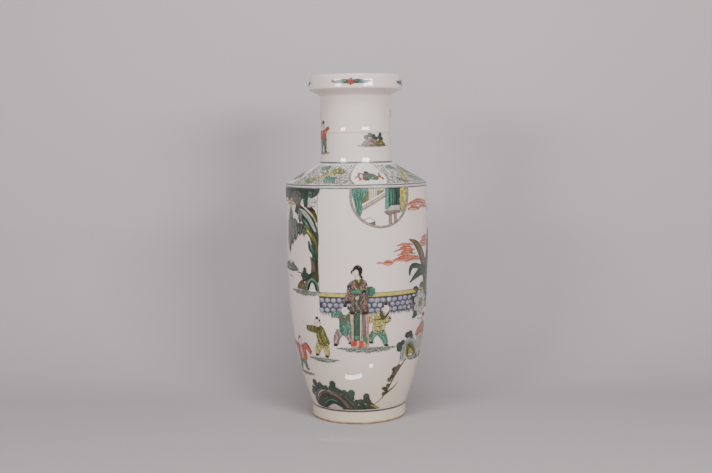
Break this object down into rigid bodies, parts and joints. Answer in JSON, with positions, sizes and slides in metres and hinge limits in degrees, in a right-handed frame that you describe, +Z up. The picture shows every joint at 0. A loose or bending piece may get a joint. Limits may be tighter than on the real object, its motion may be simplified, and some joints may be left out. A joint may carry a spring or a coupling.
{
  "type": "porcelain rouleau vase",
  "caption": "Tall porcelain rouleau vase with a dished mouth, painted in famille verte enamels with a lady and boys in a garden.",
  "frame": {"origin": "centre of the foot ring's flat underside, on the surface that the vase stands on", "axes": "+Z up along the vase's axis, -Y towards the painted side with the lady"},
  "size_m": [0.187, 0.187, 0.45],
  "materials": {
    "porcelain_glaze": "glossy clear glaze over white porcelain, with painted enamels",
    "biscuit": "unglazed fired clay, burnt light brown at the edge",
    "slip": "fired clay slip under thin glaze"
  },
  "bodies": {
    "root": {"foot_ring": "biscuit", "base_disc": "porcelain_glaze", "lower_body": "porcelain_glaze", "upper_body": "porcelain_glaze", "shoulder": "porcelain_glaze", "lower_neck": "porcelain_glaze", "upper_neck": "porcelain_glaze", "mouth": "porcelain_glaze", "base_slip_fillet": "slip", "body_seam_slip": "slip", "shoulder_seam_slip": "slip", "neck_base_seam_slip": "slip", "ridge_seam_slip": "slip", "neck_top_seam_slip": "slip"}
  },
  "joints": []
}
